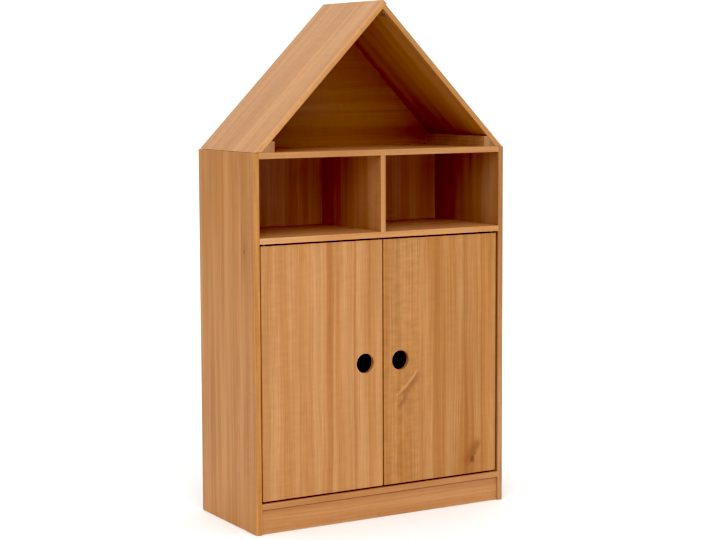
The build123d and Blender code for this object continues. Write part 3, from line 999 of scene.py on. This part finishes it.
@dataclass
class Carcass:
    """The box that stands on the floor: sides, shelves, divider, plinth and back."""

    side_stave: float = 0.095
    shelf_stave: float = 0.09
    plinth_stave: float = 0.12
    back_leaf: float = 0.16
    boards: tuple[Board, ...] = field(init=False)

    def __post_init__(self) -> None:
        """Lists the boards with their cuts."""
        side, shelf = self.side_stave, self.shelf_stave
        self.boards = (
            Board(
                "left_side_panel", Lie.SIDE_UPRIGHT, seed=11, tone=0.94, stave_width=side, richness=1.095,
                wax=0.0, knots=(Knot(0.248, -0.109, 0.0026, 3.4, 0.006, 0.012),),
            ),
            Board("right_side_panel", Lie.SIDE_UPRIGHT, seed=23, tone=0.82, stave_width=side),
            Board("bottom_board", Lie.SHELF, seed=31, tone=1.04, stave_width=shelf, wax=0.0),
            Board("middle_shelf", Lie.SHELF, seed=37, tone=1.07, stave_width=shelf, figure=0.8, wax=0.0),
            Board("top_shelf", Lie.SHELF, seed=41, tone=1.0, stave_width=shelf, figure=0.8, wax=0.0),
            Board("compartment_divider", Lie.SIDE_UPRIGHT, seed=43, tone=1.02, stave_width=side),
            Board(
                "plinth_board", Lie.FRONT_LEVEL, seed=47, tone=1.02, stave_width=self.plinth_stave,
                # painted shadow line along the plinth's top, under the overhanging bottom board
                streaks=(Streak(0.0325, 0.0045, 0.95, painted_shadow=True),),
            ),
        )

    def dress(self) -> None:
        """Dresses the boards and the veneered back."""
        for board in self.boards:
            dress_board(board)
        back = Board("cabinet_back_panel", Lie.FRONT_UPRIGHT, seed=53, stave_width=self.back_leaf)
        dress_board(back, BACK_VENEER)


@dataclass
class Roof:
    """The two slopes, the cleats that carry them and the gable panel behind."""

    slope_stave: float = 0.12
    cleat_stave: float = 0.2
    gable_staves: tuple[Stave, ...] = (
        Stave(-0.30, -0.05, 0.95, 0.5, 0.4),
        Stave(0.02, 0.09, 0.9, 0.42, 0.4),
    )

    def dress(self) -> None:
        """Dresses the roof's boards, with the grain of the slopes running up to the ridge."""
        boards = (
            Board(
                "left_roof_panel", Lie.LEFT_SLOPE, seed=59, tone=1.055, stave_width=self.slope_stave,
                figure=0.75, richness=1.03, wax=0.25,
            ),
            Board(
                "right_roof_panel", Lie.RIGHT_SLOPE, seed=61, tone=0.84, stave_width=self.slope_stave,
                figure=0.4, richness=1.06,
            ),
            Board("left_roof_cleat", Lie.DEPTHWISE, seed=67, tone=0.96, stave_width=self.cleat_stave),
            Board("right_roof_cleat", Lie.DEPTHWISE, seed=71, tone=0.80, stave_width=self.cleat_stave),
            Board(
                # low tone and high richness are painted shade: the gable panel is darkened and saturated to
                # stand for the shade under the roof
                "gable_back_panel", Lie.FRONT_LEVEL, seed=73, tone=0.67, figure=0.45, richness=1.21,
                staves=self.gable_staves,
            ),
        )
        for board in boards:
            dress_board(board)


class Hand(Enum):
    """The side of the wardrobe that a door hangs on."""

    LEFT = "left"
    RIGHT = "right"


@dataclass
class Door:
    """A door with its pivot hinges and the strike plate that the catch holds."""

    hand: Hand
    board: Board

    def dress(self) -> None:
        """Dresses the door and the fittings that swing with it."""
        dress_board(self.board)
        steel = ZINC_PLATE.material()
        for fitting in ("pivot_plates", "pivot_screws", "strike_plate", "strike_screw"):
            dress(f"{self.hand.value}_{fitting}", steel)
        dress(f"{self.hand.value}_pivot_pins", BLACKENED_STEEL.material())


@dataclass
class Fittings:
    """What the carcass holds: the clothes rail, the catch, the hinge bushes and the wall brackets."""

    steel_nodes: tuple[str, ...] = (
        "rail_socket_screws",
        "catch_screws",
        "wall_brackets",
        "wall_bracket_screws",
    )
    plastic_nodes: tuple[str, ...] = ("rail_sockets", "catch_housing")
    rail_stave: float = 0.3

    def dress(self) -> None:
        """Dresses the fittings."""
        dress_board(Board("clothes_rail", Lie.SHELF, seed=79, tone=1.02, stave_width=self.rail_stave))
        steel = ZINC_PLATE.material()
        for node in self.steel_nodes:
            dress(node, steel)
        plastic = BROWN_PLASTIC.material()
        for node in self.plastic_nodes:
            dress(node, plastic)
        dress("catch_magnets", FERRITE.material())
        dress("pivot_bushes", BROWN_NYLON.material())


@dataclass
class Joinery:
    """What holds the boards together: dowels, cam bolts with their locks, and wood screws."""

    screw_nodes: tuple[str, ...] = ("cleat_screws", "back_panel_screws")

    def dress(self) -> None:
        """Dresses the joinery."""
        dress("joint_dowels", RAW_BEECH.material())
        dress("cam_locks", CAST_ZINC.material())
        steel = ZINC_PLATE.material()
        dress("cam_bolts", steel)
        for node in self.screw_nodes:
            dress(node, steel)


@dataclass(frozen=True)
class SoftLight:
    """A broad, soft light from far away, like a large diffuser over the set."""

    name: str
    towards: tuple[float, float, float]
    spread: float
    strength: float
    distance: float = 3.0

    def hang(self) -> None:
        """Hangs the light where it shines along its direction."""
        lamp = bpy.data.lights.new(self.name, "SUN")
        lamp.angle = math.radians(self.spread)
        lamp.energy = self.strength
        light = bpy.data.objects.new(self.name, lamp)
        bpy.context.scene.collection.objects.link(light)
        light.location = Vector(self.towards) * self.distance
        light.rotation_euler = Vector(self.towards).to_track_quat("Z", "Y").to_euler()


@dataclass
class Studio:
    """A pale floor, soft light from all round, one broad light overhead and the photograph\'s camera."""

    floor_radius: float = 14.0
    floor_drop: float = 0.0004
    floor_colour: Colour = (0.97, 0.97, 0.97)
    floor_shade: Colour = (0.9409, 0.9409, 0.9409)
    floor_clouds: float = 1.5
    floor_roughness: float = 0.9
    floor_corners: int = 96
    sky_low: float = 0.64
    sky_high: float = 1.20
    sky_seen: float = 1.2
    sky_step: Span = (0.1, 0.9)
    black_level: Colour = (0.031, 0.031, 0.016)
    focal_px: float = 1749.88
    camera_place: tuple[float, float, float] = (-2.48532, -4.28677, 1.23173)
    turn: float = 30.2716
    tip: float = 5.4138
    roll: float = -0.2423
    horizon_px: float = 241.36
    sensor_width: float = 36.0
    key: SoftLight = SoftLight("overhead_diffuser", (-0.34, -0.70, 0.63), 60.0, 1.35)

    def build(self) -> None:
        """Lays the floor, lights it and sets up the camera."""
        self.lay_floor()
        self.light_sky()
        self.key.hang()
        self.place_camera()
        view = bpy.context.scene.view_settings
        view.view_transform = "Standard"
        view.look = "None"
        view.use_curve_mapping = True
        view.curve_mapping.black_level = self.black_level
        view.curve_mapping.update()

    def lay_floor(self) -> None:
        """Makes the floor, a wide disc just under the wardrobe."""
        graph = Graph("studio_floor")
        clouds = graph.noise(graph.place.outputs["Object"], scale=self.floor_clouds)
        colour = graph.mix(clouds, self.floor_colour, self.floor_shade)
        graph.finish(Base_Color=colour, Roughness=self.floor_roughness)
        sheet = bmesh.new()
        bmesh.ops.create_circle(sheet, cap_ends=True, radius=self.floor_radius, segments=self.floor_corners)
        mesh = bpy.data.meshes.new("studio_floor")
        sheet.to_mesh(mesh)
        sheet.free()
        mesh.materials.append(graph.material)
        floor = bpy.data.objects.new("studio_floor", mesh)
        floor.location.z = -self.floor_drop
        bpy.context.scene.collection.objects.link(floor)

    def light_sky(self) -> None:
        """Lights the wardrobe from all round and more from above, in front of a white backdrop."""
        world = bpy.data.worlds.new("studio_sky")
        bpy.context.scene.world = world
        world.use_nodes = True
        nodes = world.node_tree.nodes
        nodes.clear()
        links = world.node_tree.links
        glow = nodes.new("ShaderNodeBackground")
        ray = nodes.new("ShaderNodeTexCoord")
        height = nodes.new("ShaderNodeSeparateXYZ")
        links.new(ray.outputs["Generated"], height.inputs[0])
        rise = nodes.new("ShaderNodeMapRange")
        rise.interpolation_type = "SMOOTHSTEP"
        rise.inputs["From Min"].default_value, rise.inputs["From Max"].default_value = self.sky_step
        rise.inputs["To Min"].default_value = self.sky_low
        rise.inputs["To Max"].default_value = self.sky_high
        links.new(height.outputs["Z"], rise.inputs["Value"])
        links.new(rise.outputs["Result"], glow.inputs["Strength"])
        backdrop = nodes.new("ShaderNodeBackground")
        backdrop.inputs["Strength"].default_value = self.sky_seen
        path = nodes.new("ShaderNodeLightPath")
        choose = nodes.new("ShaderNodeMixShader")
        output = nodes.new("ShaderNodeOutputWorld")
        for background in (glow, backdrop):
            background.inputs["Color"].default_value = (1.0, 1.0, 1.0, 1.0)
        links.new(path.outputs["Is Camera Ray"], choose.inputs[0])
        links.new(glow.outputs[0], choose.inputs[1])
        links.new(backdrop.outputs[0], choose.inputs[2])
        links.new(choose.outputs[0], output.inputs["Surface"])

    def place_camera(self) -> None:
        """Places the camera where the photograph's edges meet the wardrobe's."""
        turn, tip, roll = (math.radians(angle) for angle in (self.turn, self.tip, self.roll))
        level = Vector((math.sin(turn), math.cos(turn), 0.0))
        side = Vector((math.cos(turn), -math.sin(turn), 0.0))
        ahead = level * math.cos(tip) - Vector((0.0, 0.0, math.sin(tip)))
        above = Vector((0.0, 0.0, math.cos(tip))) + level * math.sin(tip)
        right = side * math.cos(roll) + above * math.sin(roll)
        upward = above * math.cos(roll) - side * math.sin(roll)
        data = bpy.data.cameras.new("photo_camera")
        data.sensor_fit = "HORIZONTAL"
        data.sensor_width = self.sensor_width
        data.lens = self.focal_px / PHOTO_WIDTH * self.sensor_width
        data.shift_y = (self.horizon_px - PHOTO_HEIGHT / 2) / PHOTO_WIDTH
        camera = bpy.data.objects.new("photo_camera", data)
        turned = Matrix((right, upward, -ahead)).transposed().to_4x4()
        camera.matrix_world = Matrix.Translation(self.camera_place) @ turned
        bpy.context.scene.collection.objects.link(camera)
        bpy.context.scene.camera = camera


LEFT_DOOR = Board(
    "left_door", Lie.FRONT_UPRIGHT, seed=83, tone=1.01, figure=0.85, richness=1.015,
    streaks=(
        Streak(0.021, 0.021, 0.66),
        Streak(0.013, 0.006, 0.30),
        Streak(0.101, 0.011, 0.45),
        Streak(0.146, 0.010, 0.30),
    ),
    staves=(
        Stave(-0.30, -0.150, 0.30, 0.55, 0.5),
        Stave(-0.085, -0.060, 0.90, 0.62, 0.3),
        Stave(0.023, 0.060, 0.95, 0.45, 0.3),
        Stave(0.096, 0.150, 0.35, 0.42, 0.3),
    ),
)
RIGHT_DOOR = Board(
    "right_door", Lie.FRONT_UPRIGHT, seed=89, tone=0.91, richness=1.06,
    knots=(
        Knot(-0.062, -0.118, 0.001, 1.2, 0.010, 0.022, 0.15),
        Knot(-0.306, 0.1095, 0.0070, 1.5, 0.018, 0.034, 0.80),
    ),
    streaks=(Streak(-0.012, 0.026, 0.42), Streak(0.082, 0.018, 0.38), Streak(0.139, 0.008, 0.3)),
    curls=(
        Curl((-0.092, -0.1420), (-0.030, -0.0780), 0.007, 0.75, 0.50),
        Curl((-0.128, -0.1460), (-0.092, -0.1200), 0.005, 0.0, 0.55),
        Curl((-0.258, 0.143), (-0.328, 0.098), 0.010, 0.0, 0.70),
        Curl((-0.286, 0.128), (-0.320, 0.104), 0.004, 0.35, 0.6),
    ),
    staves=(
        Stave(-0.30, -0.130, 0.55, 0.30, 1.0),
        Stave(-0.077, -0.040, 0.85, 0.40, 0.3),
        Stave(0.030, 0.060, 0.95, 0.20, 0.3),
        Stave(0.139, 0.180, 0.60, 0.50, 0.3),
    ),
)


def main() -> None:
    """Dresses the wardrobe from the floor up and sets it in its studio."""
    logging.basicConfig(level=logging.INFO, format="%(message)s")
    Carcass().dress()
    Roof().dress()
    Door(Hand.LEFT, LEFT_DOOR).dress()
    Door(Hand.RIGHT, RIGHT_DOOR).dress()
    Fittings().dress()
    Joinery().dress()
    Studio().build()


if __name__ == "__main__":
    main()
